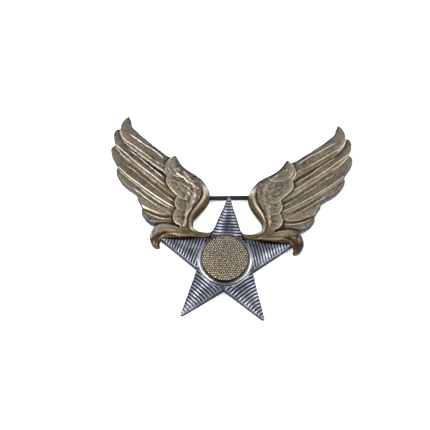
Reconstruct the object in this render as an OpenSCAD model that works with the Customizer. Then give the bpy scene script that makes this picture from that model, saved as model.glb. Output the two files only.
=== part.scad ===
// Pilot wings pin: a pair of upswept feathered wings riveted behind a ribbed
// five-pointed star with a stippled centre disc. The back carries a hinged pin
// stem and a rotating safety catch.
// Millimetres. +Z leaves the badge's face, +Y is its worn top, and the origin is
// the middle of the star's flat back.

/* [Star] */
// Radius to the ends of the five points
star_r = 16.2; // [15.9:0.1:16.5]
// Radius to the notches between the points
notch_r = 6.9; // [6.7:0.1:7.1]
// Height of a point's end above the back
tip_z = 1.8; // [1.6:0.1:2.2]
// Height of an arm beside the bezel
arm_z = 3.6; // [3.4:0.1:3.8]
// Distance from one rib to the next along an arm
rib_pitch = 0.72; // [0.68:0.02:0.78]
// Depth of the groove between two ribs
rib_depth = 0.2; // [0.1:0.02:0.26]

/* [Centre disc] */
// Radius of the disc
disc_r = 5.4; // [5.2:0.1:5.4]
// Height of the disc's rim above the back
disc_rim_z = 4.8; // [4.6:0.1:5]
// Height of the disc's middle above the back
disc_top_z = 5.6; // [5.3:0.1:5.8]
// Outer radius of the plain bezel ring
bezel_r = 6.2; // [6.1:0.05:6.3]
// Height of the bezel ring above the back
bezel_z = 4.3; // [4.1:0.1:4.4]

/* [Wings] */
// Height of the feathers' faces above the back
feather_z = 2.4; // [2.2:0.1:2.6]
// Height of the short covert feathers
covert_z = 3; // [2.9:0.1:3.1]
// Height of the rolled leading edge
roll_z = 3.4; // [3.3:0.1:3.6]
// How far each feather's quill stands up from its face
quill_h = 0.3; // [0.2:0.05:0.4]
// Depth of the gap between two feathers
gap_d = 0.9; // [0.6:0.1:1.1]
// Thickness of the tang that runs under the star
tang_t = 1.4; // [1.2:0.1:1.5]

/* [Pin stem] */
// Diameter of the pin stem
stem_d = 1.15; // [1.1:0.05:1.2]
// Depth of the stem's axis behind the back
stem_drop = 3; // [2.9:0.1:3.2]
// Slant of the stem across the badge, in degrees
stem_slant = 3.7; // [3:0.1:4.5]
// Height of the stem's axis above the star's centre, along the badge
stem_y = 17.5; // [17.2:0.1:17.6]
// Length of the tapered point
point_len = 6.7; // [6:0.1:7]

/* [Hinge] */
// Distance of the hinge from the badge's centre line
hinge_x = 13.5; // [13:0.1:14]
// Diameter of the hinge rivet
rivet_d = 0.8; // [0.7:0.02:0.86]

/* [Safety catch] */
// Distance of the catch from the badge's centre line
catch_x = 13; // [12.6:0.1:13.4]
// Outer radius of the catch housing
housing_r = 1.75; // [1.7:0.05:1.8]
// Outer radius of the turning sleeve
sleeve_r = 1.2; // [1.15:0.01:1.21]

/* [Hidden] */
$fn = 48;

seat_z = 3;              // floor of the round seat that the bezel and disc lie in
tang_w = 1.8;            // width of a tang
tang_ray = 54;           // direction of the right tang from the star's centre
tang_rivet_r = 0.4;      // radius of a tang rivet
tang_rivet_at = [2.9, 4.4];
slack = 0.05;            // fitting gap round the star

// ---- helpers ----
function unit(v) = v / norm(v);
function side(v) = [-v[1], v[0]];
function along(p, i) = unit(p[min(i + 1, len(p) - 1)] - p[max(i - 1, 0)]);
function wide(p, i, a, b) = (a + (b - a) * i / (len(p) - 1)) / 2;
// a strip that follows the line p, a wide at its start and b wide at its end
function strip(p, a, b) = concat(
    [for (i = [0 : len(p) - 1]) p[i] + side(along(p, i)) * wide(p, i, a, b)],
    [for (i = [len(p) - 1 : -1 : 0]) p[i] - side(along(p, i)) * wide(p, i, a, b)]);
function star_points(r, n) = [for (i = [0 : 9])
    (i % 2 == 0 ? r : n) * [cos(90 + 36 * i), sin(90 + 36 * i)]];

module bar(p, a, b, top, bottom = -1) {
    translate([0, 0, bottom]) linear_extrude(top - bottom) polygon(strip(p, a, b));
}
module plate(p, top) {
    translate([0, 0, -1]) linear_extrude(top + 1) polygon(p);
}

// ---- right wing, drawn on the right; the left one is its mirror image ----
wing_outline = [[2.9, 8.4], [3.4, 7.3], [4, 6.8], [5, 6.7], [6, 6.8], [7, 7.1], [7.8, 7.6],
    [8.2, 8.3], [8.3, 9.1], [8.2, 9.9], [7.7, 10.7], [7, 11.6], [6.3, 12.5], [5.6, 13.5],
    [5.1, 14.4], [4.8, 15.3], [4.7, 16.2], [4.8, 17], [5, 17.9], [5.4, 18.7], [6, 19.5],
    [6.9, 20.2], [8, 20.9], [9.2, 21.6], [10.4, 22.3], [11.4, 23.1], [12.1, 23.9],
    [12.7, 24.8], [13.2, 25.6], [13.6, 26], [14.1, 25.7], [14.5, 25.4], [15, 25.5],
    [16, 26.1], [18, 27.6], [20, 29.1], [22, 30.7], [23, 31.6], [24, 32.5], [24.6, 33.3],
    [24.9, 34.2], [25.1, 35], [25.4, 35.5], [25.8, 35.6], [26.3, 35.2], [26.8, 34.6],
    [27.2, 33.8], [27.4, 33], [27.5, 32.3], [27.8, 32.1], [28.2, 32.1], [28.6, 31.8],
    [28.9, 31.2], [29, 30.4], [28.9, 29.6], [28.7, 28.8], [28.4, 28.1], [28.7, 27.8],
    [29.1, 27.3], [29.3, 26.7], [29.2, 26], [28.9, 25.1], [28.3, 24.1], [27.7, 23.2],
    [27.2, 22.4], [27.4, 22], [27.5, 21.4], [27.4, 20.7], [27, 19.8], [26.4, 18.9],
    [25.6, 18], [24.6, 17.2], [23.5, 16.5], [22.6, 16], [21.9, 15.5], [21.8, 14.9],
    [21.5, 14.2], [21.1, 13.4], [20.5, 12.5], [20.6, 11.8], [20.4, 11], [20, 10.3],
    [19.5, 9.6], [18.8, 9], [18, 8.4], [17.3, 8], [17.7, 7.2], [18, 6.4], [18.1, 5.6],
    [18, 4.8], [17.7, 4], [17.3, 3.3], [16.8, 2.9], [16.3, 2.8], [15.8, 3],
    [15.4, 4.2], [14, 4.6], [4, 4.6], [2.6, 6]];
gap_1 = [[29, 31.4], [27.2, 30.4], [25.3, 28.2], [23, 26.4], [20, 24.3], [17, 22.2], [14.6, 20.4]];
gap_2 = [[30, 28.3], [28.3, 27.9], [26.2, 25.4], [24, 23.1], [21, 20.9], [18, 18.6], [15, 16.4], [12.2, 14.6]];
gap_3 = [[28.6, 22.8], [27, 22], [25.5, 20.9], [22, 18.4], [19, 16.1], [15.5, 13.8], [12.2, 12.3]];
gap_4 = [[23.4, 17.4], [22, 16.6], [20, 15.1], [17, 13], [14, 11.2], [12.2, 10.5]];
gap_5 = [[21.6, 12.9], [20, 12.2], [18, 11.4], [16, 10.8], [14, 10.6], [12.4, 10.8]];
gap_6 = [[18.6, 7.7], [17, 8.1], [15.5, 8.7], [13.5, 8.8], [11.6, 8.2]];
quill_1 = [[25.4, 31.6], [23, 30], [19, 27.4], [15.2, 24.8]];
quill_2 = [[27.4, 29.6], [24.5, 27], [21.5, 24.7], [18, 22.1], [15.5, 20.2]];
quill_3 = [[27.6, 25.6], [25, 23.1], [21, 20.2], [17, 17.2], [13.6, 14.8]];
quill_4 = [[25.8, 19.6], [23, 17.9], [20, 15.8], [17, 13.8], [13.4, 11.8]];
quill_5 = [[20.4, 13.9], [18, 12.8], [15.5, 11.7], [13, 10.8]];
quill_6 = [[19.6, 10.8], [17.5, 10], [15, 9.6], [12.8, 9.4]];
coverts = [[5.6, 12], [8.4, 9.4], [9.6, 7.6], [12, 8.6], [12.5, 9.9], [12.2, 11.2], [11.8, 12],
    [12.3, 13], [12.3, 14.1], [11.7, 15.2], [12.6, 16.2], [13.6, 17.1], [14.5, 18.1],
    [15, 19.2], [14.6, 20.5], [14.8, 21.6], [15.2, 22.8], [14.9, 24], [13.9, 26.6],
    [10, 26], [3, 19]];
covert_gap_a = [[14.9, 20.6], [13.4, 20.1], [11.6, 19], [9.6, 17.6], [8, 16.8]];
covert_gap_b = [[12, 15.1], [10.8, 14.8], [9.6, 14.2], [8.6, 14]];
covert_gap_c = [[12, 12], [11, 11.8], [10, 11], [9.2, 11]];
roll = [[9.2, 8.4], [9.1, 9.9], [8.2, 11.4], [7.1, 12.9], [6.1, 14.4], [5.6, 15.8],
    [5.8, 17.3], [6.5, 18.7], [7.8, 19.9], [9.8, 21.1], [11.6, 22.4], [12.8, 24], [13.6, 25.6]];
curl = [[4, 6.2], [7, 6.4], [10, 6.5], [13, 6.7], [15.2, 6.3], [16.4, 5.3], [16.6, 4.2], [16.2, 3.2]];

module wing_body() {
    difference() {
        intersection() {
            linear_extrude(roll_z + 1) polygon(wing_outline);
            union() {
                translate([0, 0, -1]) cube([40, 40, feather_z + 1]);
                plate(coverts, covert_z);
                bar(roll, 1.9, 1.5, roll_z);
                bar(curl, 1.7, 1.2, covert_z + 0.2);
                bar(quill_1, 0.5, 0.7, feather_z + quill_h);
                bar(quill_2, 0.5, 0.7, feather_z + quill_h);
                bar(quill_3, 0.5, 0.7, feather_z + quill_h);
                bar(quill_4, 0.5, 0.7, feather_z + quill_h);
                bar(quill_5, 0.5, 0.7, feather_z + quill_h);
                bar(quill_6, 0.5, 0.7, feather_z + quill_h);
            }
        }
        bar(gap_1, 0.5, 0.5, 9, feather_z - gap_d);
        bar(gap_2, 0.5, 0.5, 9, feather_z - gap_d);
        bar(gap_3, 0.5, 0.5, 9, feather_z - gap_d);
        bar(gap_4, 0.4, 0.4, 9, feather_z - gap_d);
        bar(gap_5, 0.4, 0.4, 9, feather_z - gap_d);
        bar(gap_6, 0.4, 0.4, 9, feather_z - gap_d);
        bar(covert_gap_a, 0.35, 0.25, 9, covert_z - 0.5);
        bar(covert_gap_b, 0.35, 0.25, 9, covert_z - 0.5);
        bar(covert_gap_c, 0.35, 0.25, 9, covert_z - 0.5);
        translate([0, 0, -1]) linear_extrude(9) polygon(star_points(star_r + 3 * slack, notch_r + slack));
    }
}
module tang() {
    rotate([0, 0, tang_ray]) translate([2, -tang_w / 2, 0]) cube([6, tang_w, tang_t]);
}
module tang_rivet_spots() {
    for (r = tang_rivet_at) rotate([0, 0, tang_ray]) translate([r, 0, 0]) children();
}
module wing_with_tang() {
    difference() {
        union() {
            wing_body();
            tang();
        }
        tang_rivet_spots() {
            translate([0, 0, -1]) cylinder(h = 4, r = tang_rivet_r);
            translate([0, 0, -0.01]) cylinder(h = 0.31, r1 = tang_rivet_r + 0.31, r2 = tang_rivet_r);
        }
    }
}

module right_wing() {
    color([0.60, 0.55, 0.44]) wing_with_tang();
}
module left_wing() {
    color([0.60, 0.55, 0.44]) mirror([1, 0, 0]) wing_with_tang();
}

// ---- star ----
rib_n = floor((star_r - bezel_r) / rib_pitch);
function arm_top(r) = arm_z + (tip_z - arm_z) * (r - bezel_r) / (star_r - bezel_r);
// what is cut away above one arm: grooves and crests along the arm's length
rib_cut = concat([[bezel_r + 0.1, 9], [bezel_r + 0.1, arm_z]],
    [for (i = [0 : rib_n]) for (k = [0, 1])
        let (r = bezel_r + 0.3 + (i + k / 2) * rib_pitch)
        [r, arm_top(r) - (k == 0 ? 0 : rib_depth)]],
    [[star_r + 2, tip_z - 0.3], [star_r + 2, 9]]);

module tang_channels() {
    for (m = [0, 1]) mirror([m, 0, 0]) rotate([0, 0, tang_ray])
        translate([1.9, -tang_w / 2 - slack, -1]) cube([8, tang_w + 2 * slack, tang_t + slack + 1]);
}
module star() {
    color([0.74, 0.75, 0.76]) difference() {
        linear_extrude(arm_z) polygon(star_points(star_r, notch_r));
        for (i = [0 : 4]) rotate([0, 0, 90 + 72 * i]) rotate([90, 0, 0])
            translate([0, 0, -7]) linear_extrude(14) polygon(rib_cut);
        translate([0, 0, seat_z]) cylinder(h = 5, r = bezel_r + 0.03);
        tang_channels();
        for (m = [0, 1]) mirror([m, 0, 0]) tang_rivet_spots() {
            cylinder(h = 5, r = tang_rivet_r);
            translate([0, 0, seat_z - 0.3]) cylinder(h = 0.31, r1 = tang_rivet_r, r2 = tang_rivet_r + 0.31);
        }
    }
}

module disc_bezel() {
    color([0.80, 0.81, 0.82]) rotate_extrude() polygon([[disc_r + 0.03, seat_z], [bezel_r, seat_z],
        [bezel_r, bezel_z - 0.3], [bezel_r - 0.12, bezel_z - 0.08], [bezel_r - 0.35, bezel_z],
        [disc_r + 0.2, bezel_z - 0.05], [disc_r + 0.03, bezel_z - 0.25]]);
}

// the disc's crown, from its middle to its rim
crown = [for (i = [0 : 8]) let (r = (disc_r - 0.25) * i / 8)
    [r, disc_top_z - (disc_top_z - disc_rim_z - 0.15) * pow(i / 8, 2)]];
module star_disc() {
    color([0.62, 0.52, 0.33]) rotate_extrude() polygon(concat([[0, seat_z]], crown,
        [[disc_r - 0.06, disc_rim_z], [disc_r, disc_rim_z - 0.2], [disc_r, seat_z]]));
}

module tang_rivets() {
    color([0.66, 0.62, 0.52]) for (m = [0, 1]) mirror([m, 0, 0]) tang_rivet_spots()
        rotate_extrude() polygon([[0, 0], [tang_rivet_r + 0.3, 0], [tang_rivet_r, 0.3],
            [tang_rivet_r, seat_z - 0.3], [tang_rivet_r + 0.3, seat_z], [0, seat_z]]);
}

// ---- pin, hinge and catch: x runs along the stem, z = 0 on its axis ----
base_t = 0.5;            // thickness of the two soldered base plates
ear_r = 1;               // radius of a hinge ear
ear_t = 0.5;             // thickness of a hinge ear
ear_gap = 1.3;           // space between the ears
eye_t = 1.1;             // thickness of the stem's eye
eye_clear = 0.03;        // running clearance round the hinge rivet
point_x = 16.2;          // where the stem's point ends
back = stem_drop;        // height of the badge's back above the axis

module on_stem() {
    translate([0, stem_y, -stem_drop]) rotate([0, 0, stem_slant]) children();
}
// a cylinder along x, from x0 to x1
module rod(x0, x1, r) {
    translate([x0, 0, 0]) rotate([0, 90, 0]) cylinder(h = x1 - x0, r = r);
}
// a cylinder along y, from y0 to y1
module cross_rod(y0, y1, r) {
    translate([0, y0, 0]) rotate([-90, 0, 0]) cylinder(h = y1 - y0, r = r);
}
module foot(l, w, r) {
    linear_extrude(base_t) union() {
        square([l - 2 * r, w], center = true);
        square([l, w - 2 * r], center = true);
        for (x = [-1, 1]) for (y = [-1, 1]) translate([x * (l / 2 - r), y * (w / 2 - r)]) circle(r);
    }
}
// solder run round a foot
module fillet(l, w, r) {
    difference() {
        linear_extrude(0.25) union() {
            square([l - 2 * r, w + 0.5], center = true);
            square([l + 0.5, w - 2 * r], center = true);
            for (x = [-1, 1]) for (y = [-1, 1])
                translate([x * (l / 2 - r), y * (w / 2 - r)]) circle(r + 0.25);
        }
        translate([0, 0, -1]) linear_extrude(3) union() {
            square([l - 2 * r, w], center = true);
            square([l, w - 2 * r], center = true);
            for (x = [-1, 1]) for (y = [-1, 1]) translate([x * (l / 2 - r), y * (w / 2 - r)]) circle(r);
        }
    }
}

module hinge_bracket() {
    color([0.55, 0.52, 0.46]) on_stem() translate([-hinge_x, 0, 0]) difference() {
        union() {
            translate([0, 0, back - base_t]) foot(4.4, 3.6, 0.6);
            for (s = [-1, 1]) translate([0, s * (ear_gap + ear_t) / 2, 0]) {
                cross_rod(-ear_t / 2, ear_t / 2, ear_r);
                translate([-ear_r, -ear_t / 2, 0]) cube([2 * ear_r, ear_t, back - base_t / 2]);
            }
        }
        cross_rod(-3, 3, rivet_d / 2);
    }
}
module hinge_solder() {
    color([0.70, 0.70, 0.68]) on_stem() translate([-hinge_x, 0, back - 0.25]) fillet(4.4, 3.6, 0.6);
}
module hinge_rivet() {
    w = ear_gap / 2 + ear_t;
    color([0.45, 0.43, 0.40]) on_stem() translate([-hinge_x, 0, 0]) {
        rotate([-90, 0, 0]) rotate_extrude() polygon([[0, -w - 0.35], [0.4, -w - 0.33], [0.65, -w - 0.2],
            [0.7, -w], [rivet_d / 2, -w], [rivet_d / 2, w], [0.7, w], [0.65, w + 0.2],
            [0.4, w + 0.33], [0, w + 0.35]]);
    }
}
module pin_stem() {
    color([0.16, 0.15, 0.15]) on_stem() difference() {
        union() {
            translate([-hinge_x, 0, 0]) cross_rod(-eye_t / 2, eye_t / 2, 1.05);
            rod(-hinge_x + 0.2, point_x - point_len, stem_d / 2);
            translate([point_x - point_len, 0, 0]) rotate([0, 90, 0])
                cylinder(h = point_len, r1 = stem_d / 2, r2 = 0.1);
        }
        translate([-hinge_x, 0, 0]) cross_rod(-3, 3, rivet_d / 2 + eye_clear);
        for (s = [-1, 1]) translate([-hinge_x - 2, s * (eye_t / 2 + 1) - 1, -2]) cube([4, 2, 4]);
    }
}

// mouth that the stem drops through, facing away from the badge
module mouth(x0, x1, w) {
    translate([x0, -w / 2, -4]) cube([x1 - x0, w, 4]);
}
module catch_housing() {
    color([0.55, 0.52, 0.46]) on_stem() translate([catch_x, 0, 0]) difference() {
        union() {
            translate([0, 0, back - base_t]) foot(4, 4, 0.6);
            rod(-1.2, 1.2, housing_r);
            translate([-1.2, -1, 0]) cube([2.4, 2, back - base_t / 2]);
        }
        rod(-2, 2, sleeve_r + 0.05);
        mouth(-2, 2, 1.5);
    }
}
module catch_solder() {
    color([0.70, 0.70, 0.68]) on_stem() translate([catch_x, 0, back - 0.25]) fillet(4, 4, 0.6);
}
module catch_rotor() {
    color([0.58, 0.55, 0.48]) on_stem() translate([catch_x, 0, 0]) difference() {
        union() {
            rod(-1.7, 1.7, sleeve_r);
            rod(-1.7, -1.25, 1.7);
            rod(1.25, 1.7, 1.7);
            translate([1.25, 0, -0.6]) cube([0.45, 2.6, 1.2]);
            translate([1.25, 2.6, 0]) rotate([0, 90, 0]) cylinder(h = 0.45, r = 0.6);
        }
        rod(-2, 2, 0.7);
        mouth(-2, 2, 1.35);
    }
}

left_wing();
right_wing();
star();
disc_bezel();
star_disc();
tang_rivets();
hinge_bracket();
hinge_solder();
hinge_rivet();
pin_stem();
catch_housing();
catch_solder();
catch_rotor();
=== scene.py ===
import bpy
import math
import numpy as np
from mathutils import Matrix, Vector, kdtree


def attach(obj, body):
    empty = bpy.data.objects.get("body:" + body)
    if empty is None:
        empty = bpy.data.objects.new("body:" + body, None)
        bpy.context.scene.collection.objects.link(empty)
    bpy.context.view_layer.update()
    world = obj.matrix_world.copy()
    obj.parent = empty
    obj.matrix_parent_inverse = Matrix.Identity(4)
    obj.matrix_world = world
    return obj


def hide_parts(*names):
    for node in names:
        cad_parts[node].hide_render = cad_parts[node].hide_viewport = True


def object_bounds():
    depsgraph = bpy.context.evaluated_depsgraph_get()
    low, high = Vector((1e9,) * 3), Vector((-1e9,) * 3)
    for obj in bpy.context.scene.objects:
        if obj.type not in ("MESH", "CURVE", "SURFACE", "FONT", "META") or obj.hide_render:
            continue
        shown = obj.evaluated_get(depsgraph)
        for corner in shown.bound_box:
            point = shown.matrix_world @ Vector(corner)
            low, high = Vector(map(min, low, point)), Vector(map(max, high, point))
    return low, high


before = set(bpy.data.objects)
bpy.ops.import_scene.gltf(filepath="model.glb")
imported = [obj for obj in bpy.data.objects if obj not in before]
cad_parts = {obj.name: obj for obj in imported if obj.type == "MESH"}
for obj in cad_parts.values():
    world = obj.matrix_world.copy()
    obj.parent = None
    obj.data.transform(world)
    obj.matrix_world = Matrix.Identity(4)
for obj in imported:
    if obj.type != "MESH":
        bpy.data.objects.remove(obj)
cad_lo, cad_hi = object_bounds()
MM = 0.001
rng = np.random.default_rng(7)


# ------------------------------------------------------------------ curves
def smooth(pts, step=0.35, closed=False):
    """A dense line through the points (Catmull-Rom)."""
    p = np.array(pts, float)
    n = len(p)
    out = []
    last = n if closed else n - 1
    for i in range(last):
        if closed:
            a, b, c, d = p[(i - 1) % n], p[i], p[(i + 1) % n], p[(i + 2) % n]
        else:
            a, b, c, d = p[max(i - 1, 0)], p[i], p[i + 1], p[min(i + 2, n - 1)]
        m = max(1, int(math.ceil(np.linalg.norm(c - b) / step)))
        for t in np.arange(m) / m:
            t2, t3 = t * t, t * t * t
            out.append(
                0.5
                * (
                    2 * b
                    + (c - a) * t
                    + (2 * a - 5 * b + 4 * c - d) * t2
                    + (3 * b - a - 3 * c + d) * t3
                )
            )
    if not closed:
        out.append(p[-1])
    return np.array(out)


def nearest(px, py, line, closed=False):
    """Distance to the line, which side (+1 right, -1 left of its direction) and how far along it, 0 to 1."""
    q = np.vstack([line, line[:1]]) if closed else line
    best = np.full(px.shape, 1e18)
    side = np.ones(px.shape)
    arc = np.zeros(px.shape)
    seg = np.linalg.norm(q[1:] - q[:-1], axis=1)
    cum = np.concatenate([[0], np.cumsum(seg)])
    for i in range(len(q) - 1):
        if seg[i] < 1e-9:
            continue
        ax, ay = q[i]
        dx, dy = (q[i + 1] - q[i]) / seg[i]
        rx, ry = px - ax, py - ay
        t = np.clip(rx * dx + ry * dy, 0, seg[i])
        ex, ey = rx - t * dx, ry - t * dy
        d2 = ex * ex + ey * ey
        m = d2 < best
        best[m] = d2[m]
        side[m] = np.where(dx * ry[m] - dy * rx[m] < 0, 1.0, -1.0)
        arc[m] = (cum[i] + t[m]) / cum[-1]
    return np.sqrt(best), side, arc


def inside_of(px, py, poly):
    """True inside the closed polygon (even-odd)."""
    r = np.zeros(px.shape, bool)
    j = len(poly) - 1
    for i in range(len(poly)):
        xi, yi = poly[i]
        xj, yj = poly[j]
        if yi != yj:
            c = (yi > py) != (yj > py)
            x = (xj - xi) * (py - yi) / (yj - yi) + xi
            r ^= c & (px < x)
        j = i
    return r


def signed(px, py, poly):
    d, _, _ = nearest(px, py, poly, closed=True)
    return np.where(inside_of(px, py, poly), d, -d)


def step01(a, b, x):
    t = np.clip((x - a) / (b - a), 0, 1)
    return t * t * (3 - 2 * t)


def hump(d, w):
    """1 on the line, rounded, 0 from w away."""
    t = np.clip(np.abs(d) / w, 0, 1)
    return 0.5 + 0.5 * np.cos(math.pi * t)


def lattice(seed, n=64):
    return np.random.default_rng(seed).random((n, n))


def wobble(px, py, size, seed):
    """Smooth random field, -1 to 1, with features of about size mm."""
    g = lattice(seed)
    n = len(g)
    u, v = px / size + 100.3, py / size + 57.1
    iu, iv = np.floor(u).astype(int), np.floor(v).astype(int)
    fu, fv = u - iu, v - iv
    fu, fv = fu * fu * (3 - 2 * fu), fv * fv * (3 - 2 * fv)
    a, b = g[iu % n, iv % n], g[(iu + 1) % n, iv % n]
    c, d = g[iu % n, (iv + 1) % n], g[(iu + 1) % n, (iv + 1) % n]
    return ((a * (1 - fu) + b * fu) * (1 - fv) + (c * (1 - fu) + d * fu) * fv) * 2 - 1


def blur(h, w, sigma, stepmm):
    """Gaussian blur of the field h that counts only cells where w is 1."""
    r = int(math.ceil(2.5 * sigma / stepmm))
    k = np.exp(-0.5 * (np.arange(-r, r + 1) * stepmm / sigma) ** 2)
    k /= k.sum()

    def one(a, axis):
        pad = [(0, 0), (0, 0)]
        pad[axis] = (r, r)
        q = np.pad(a, pad)
        o = np.zeros_like(a)
        n = a.shape[axis]
        for i, kk in enumerate(k):
            o += kk * (q[i : i + n] if axis == 0 else q[:, i : i + n])
        return o

    num = one(one(h * w, 0), 1)
    den = one(one(w, 0), 1)
    return num / np.maximum(den, 1e-6)


# ------------------------------------------------------------------ relief meshes
def relief(name, S, H, edge_r, xs, ys, wall, attrs, edge_k=0.9, flip=False, low=0.0, side=0.0):
    """A closed solid: a sculpted top over the region S > 0, a drafted wall down to z = low, and a flat back.

    S, H, edge_r and each of attrs are fields on the grid ys x xs, in mm. wall is how far the base stands out past the
    top. side is the cav value painted on the wall: negative gives painted shade.
    """
    ny, nx = S.shape
    stp = xs[1] - xs[0]
    ins = S > 0
    idx = -np.ones((ny, nx), int)
    idx[ins] = np.arange(ins.sum())
    X, Y = np.meshgrid(xs, ys)
    cols = [X[ins], Y[ins], H[ins], edge_r[ins], S[ins]]
    att = {k: [v[ins]] for k, v in attrs.items()}
    n0 = int(ins.sum())

    def crossing(a, b):
        t = S[a] / (S[a] - S[b])
        return t

    # horizontal grid edges
    hm = ins[:, :-1] != ins[:, 1:]
    jj, ii = np.nonzero(hm)
    t = S[jj, ii] / (S[jj, ii] - S[jj, ii + 1])
    hid = -np.ones((ny, nx - 1), int)
    hid[hm] = n0 + np.arange(hm.sum())
    parts = [[c] for c in cols]
    lerp = lambda F, t, jj, ii, j2, i2: F[jj, ii] * (1 - t) + F[j2, i2] * t
    for k, F in enumerate([X, Y, H, edge_r]):
        parts[k].append(lerp(F, t, jj, ii, jj, ii + 1))
    parts[4].append(np.zeros(len(t)))
    for k, v in attrs.items():
        att[k].append(lerp(v, t, jj, ii, jj, ii + 1))
    n1 = n0 + len(t)
    vm = ins[:-1, :] != ins[1:, :]
    jj, ii = np.nonzero(vm)
    t = S[jj, ii] / (S[jj, ii] - S[jj + 1, ii])
    vid = -np.ones((ny - 1, nx), int)
    vid[vm] = n1 + np.arange(vm.sum())
    for k, F in enumerate([X, Y, H, edge_r]):
        parts[k].append(lerp(F, t, jj, ii, jj + 1, ii))
    parts[4].append(np.zeros(len(t)))
    for k, v in attrs.items():
        att[k].append(lerp(v, t, jj, ii, jj + 1, ii))
    px, py, ph, pr, ps = [np.concatenate(p) for p in parts]
    u = 1 - np.clip(ps / pr, 0, 1)
    drop = pr * edge_k * (1 - np.sqrt(np.maximum(0, 1 - u * u)))
    pz = np.maximum(ph - drop, low + 0.25)
    # faces
    a, b = ins[:-1, :-1], ins[:-1, 1:]
    c, d = ins[1:, 1:], ins[1:, :-1]
    full = a & b & c & d
    jj, ii = np.nonzero(full)
    quads = np.stack(
        [idx[jj, ii], idx[jj, ii + 1], idx[jj + 1, ii + 1], idx[jj + 1, ii]], 1
    )
    faces = quads.tolist()
    mixed = (a | b | c | d) & ~full
    nxt = {}
    for j, i in zip(*np.nonzero(mixed)):
        ring = [
            (idx[j, i] if ins[j, i] else None, hid[j, i]),
            (idx[j, i + 1] if ins[j, i + 1] else None, vid[j, i + 1]),
            (idx[j + 1, i + 1] if ins[j + 1, i + 1] else None, hid[j + 1, i]),
            (idx[j + 1, i] if ins[j + 1, i] else None, vid[j, i]),
        ]
        poly, kinds = [], []
        for corner, edge in ring:
            if corner is not None:
                poly.append(int(corner))
                kinds.append(0)
            if edge >= 0:
                poly.append(int(edge))
                kinds.append(1)
        if len(poly) >= 3:
            faces.append(poly)
        m = len(poly)
        for k in range(m):
            if kinds[k] and kinds[(k + 1) % m]:
                nxt[poly[k]] = poly[(k + 1) % m]
    loops, seen = [], set()
    for s0 in list(nxt):
        if s0 in seen:
            continue
        loop, v = [], s0
        while v not in seen and v in nxt:
            seen.add(v)
            loop.append(v)
            v = nxt[v]
        if len(loop) > 8:
            loops.append(loop)
    loops.sort(key=len, reverse=True)
    loop = loops[0]
    co = np.stack([px, py, pz], 1)
    L = np.array(loop)
    P = co[L, :2]
    T = np.roll(P, -3, 0) - np.roll(P, 3, 0)
    T /= np.maximum(np.linalg.norm(T, axis=1, keepdims=True), 1e-9)
    N = np.stack([T[:, 1], -T[:, 0]], 1)
    for _ in range(3):
        N = (np.roll(N, 1, 0) + 2 * N + np.roll(N, -1, 0)) / 4
    N /= np.maximum(np.linalg.norm(N, axis=1, keepdims=True), 1e-9)
    ztop = co[L, 2]
    prof = [(0.8, 0.10), (0.55, 0.35), (0.3, 0.65), (0.08, 1.0), (0.0, 0.75)]
    verts = [co]
    ring_ids = [L]
    base = len(co)
    nl = len(L)
    wallv = []
    for f, o in prof:
        z = low + (ztop - low) * f
        q = np.column_stack([P + N * (o * wall), z])
        verts.append(q)
        ring_ids.append(np.arange(base, base + nl))
        base += nl
        wallv.append(f)
    for r0, r1 in zip(ring_ids[:-1], ring_ids[1:]):
        r0n, r1n = np.roll(r0, -1), np.roll(r1, -1)
        # r0 is above r1; the loop runs counter-clockwise seen from +Z
        faces += np.stack([r0, r1, r1n, r0n], 1).tolist()
    faces.append(ring_ids[-1][::-1].tolist())
    V = np.vstack(verts)
    if flip:
        V[:, 0] *= -1
        faces = [f[::-1] for f in faces]
    me = bpy.data.meshes.new(name)
    me.from_pydata((V * MM).tolist(), [], faces)
    for k, v in att.items():
        vals = np.concatenate(v)
        top_vals = vals[L]
        # the wall gets the cav value side, negative here: painted shade on the walls
        extra = [side + 0 * top_vals for f in wallv] if k == "cav" else [
            top_vals for _ in wallv
        ]
        vals = np.concatenate([vals] + extra)
        at = me.attributes.new(k, "FLOAT", "POINT")
        at.data.foreach_set("value", vals.astype(np.float32))
    me.update()
    me.polygons.foreach_set("use_smooth", np.ones(len(me.polygons), bool))
    o = bpy.data.objects.new(name, me)
    bpy.context.scene.collection.objects.link(o)
    # the flat back meets the wall at a real edge
    last = me.polygons[len(me.polygons) - 1]
    last.use_smooth = False
    return o


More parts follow.
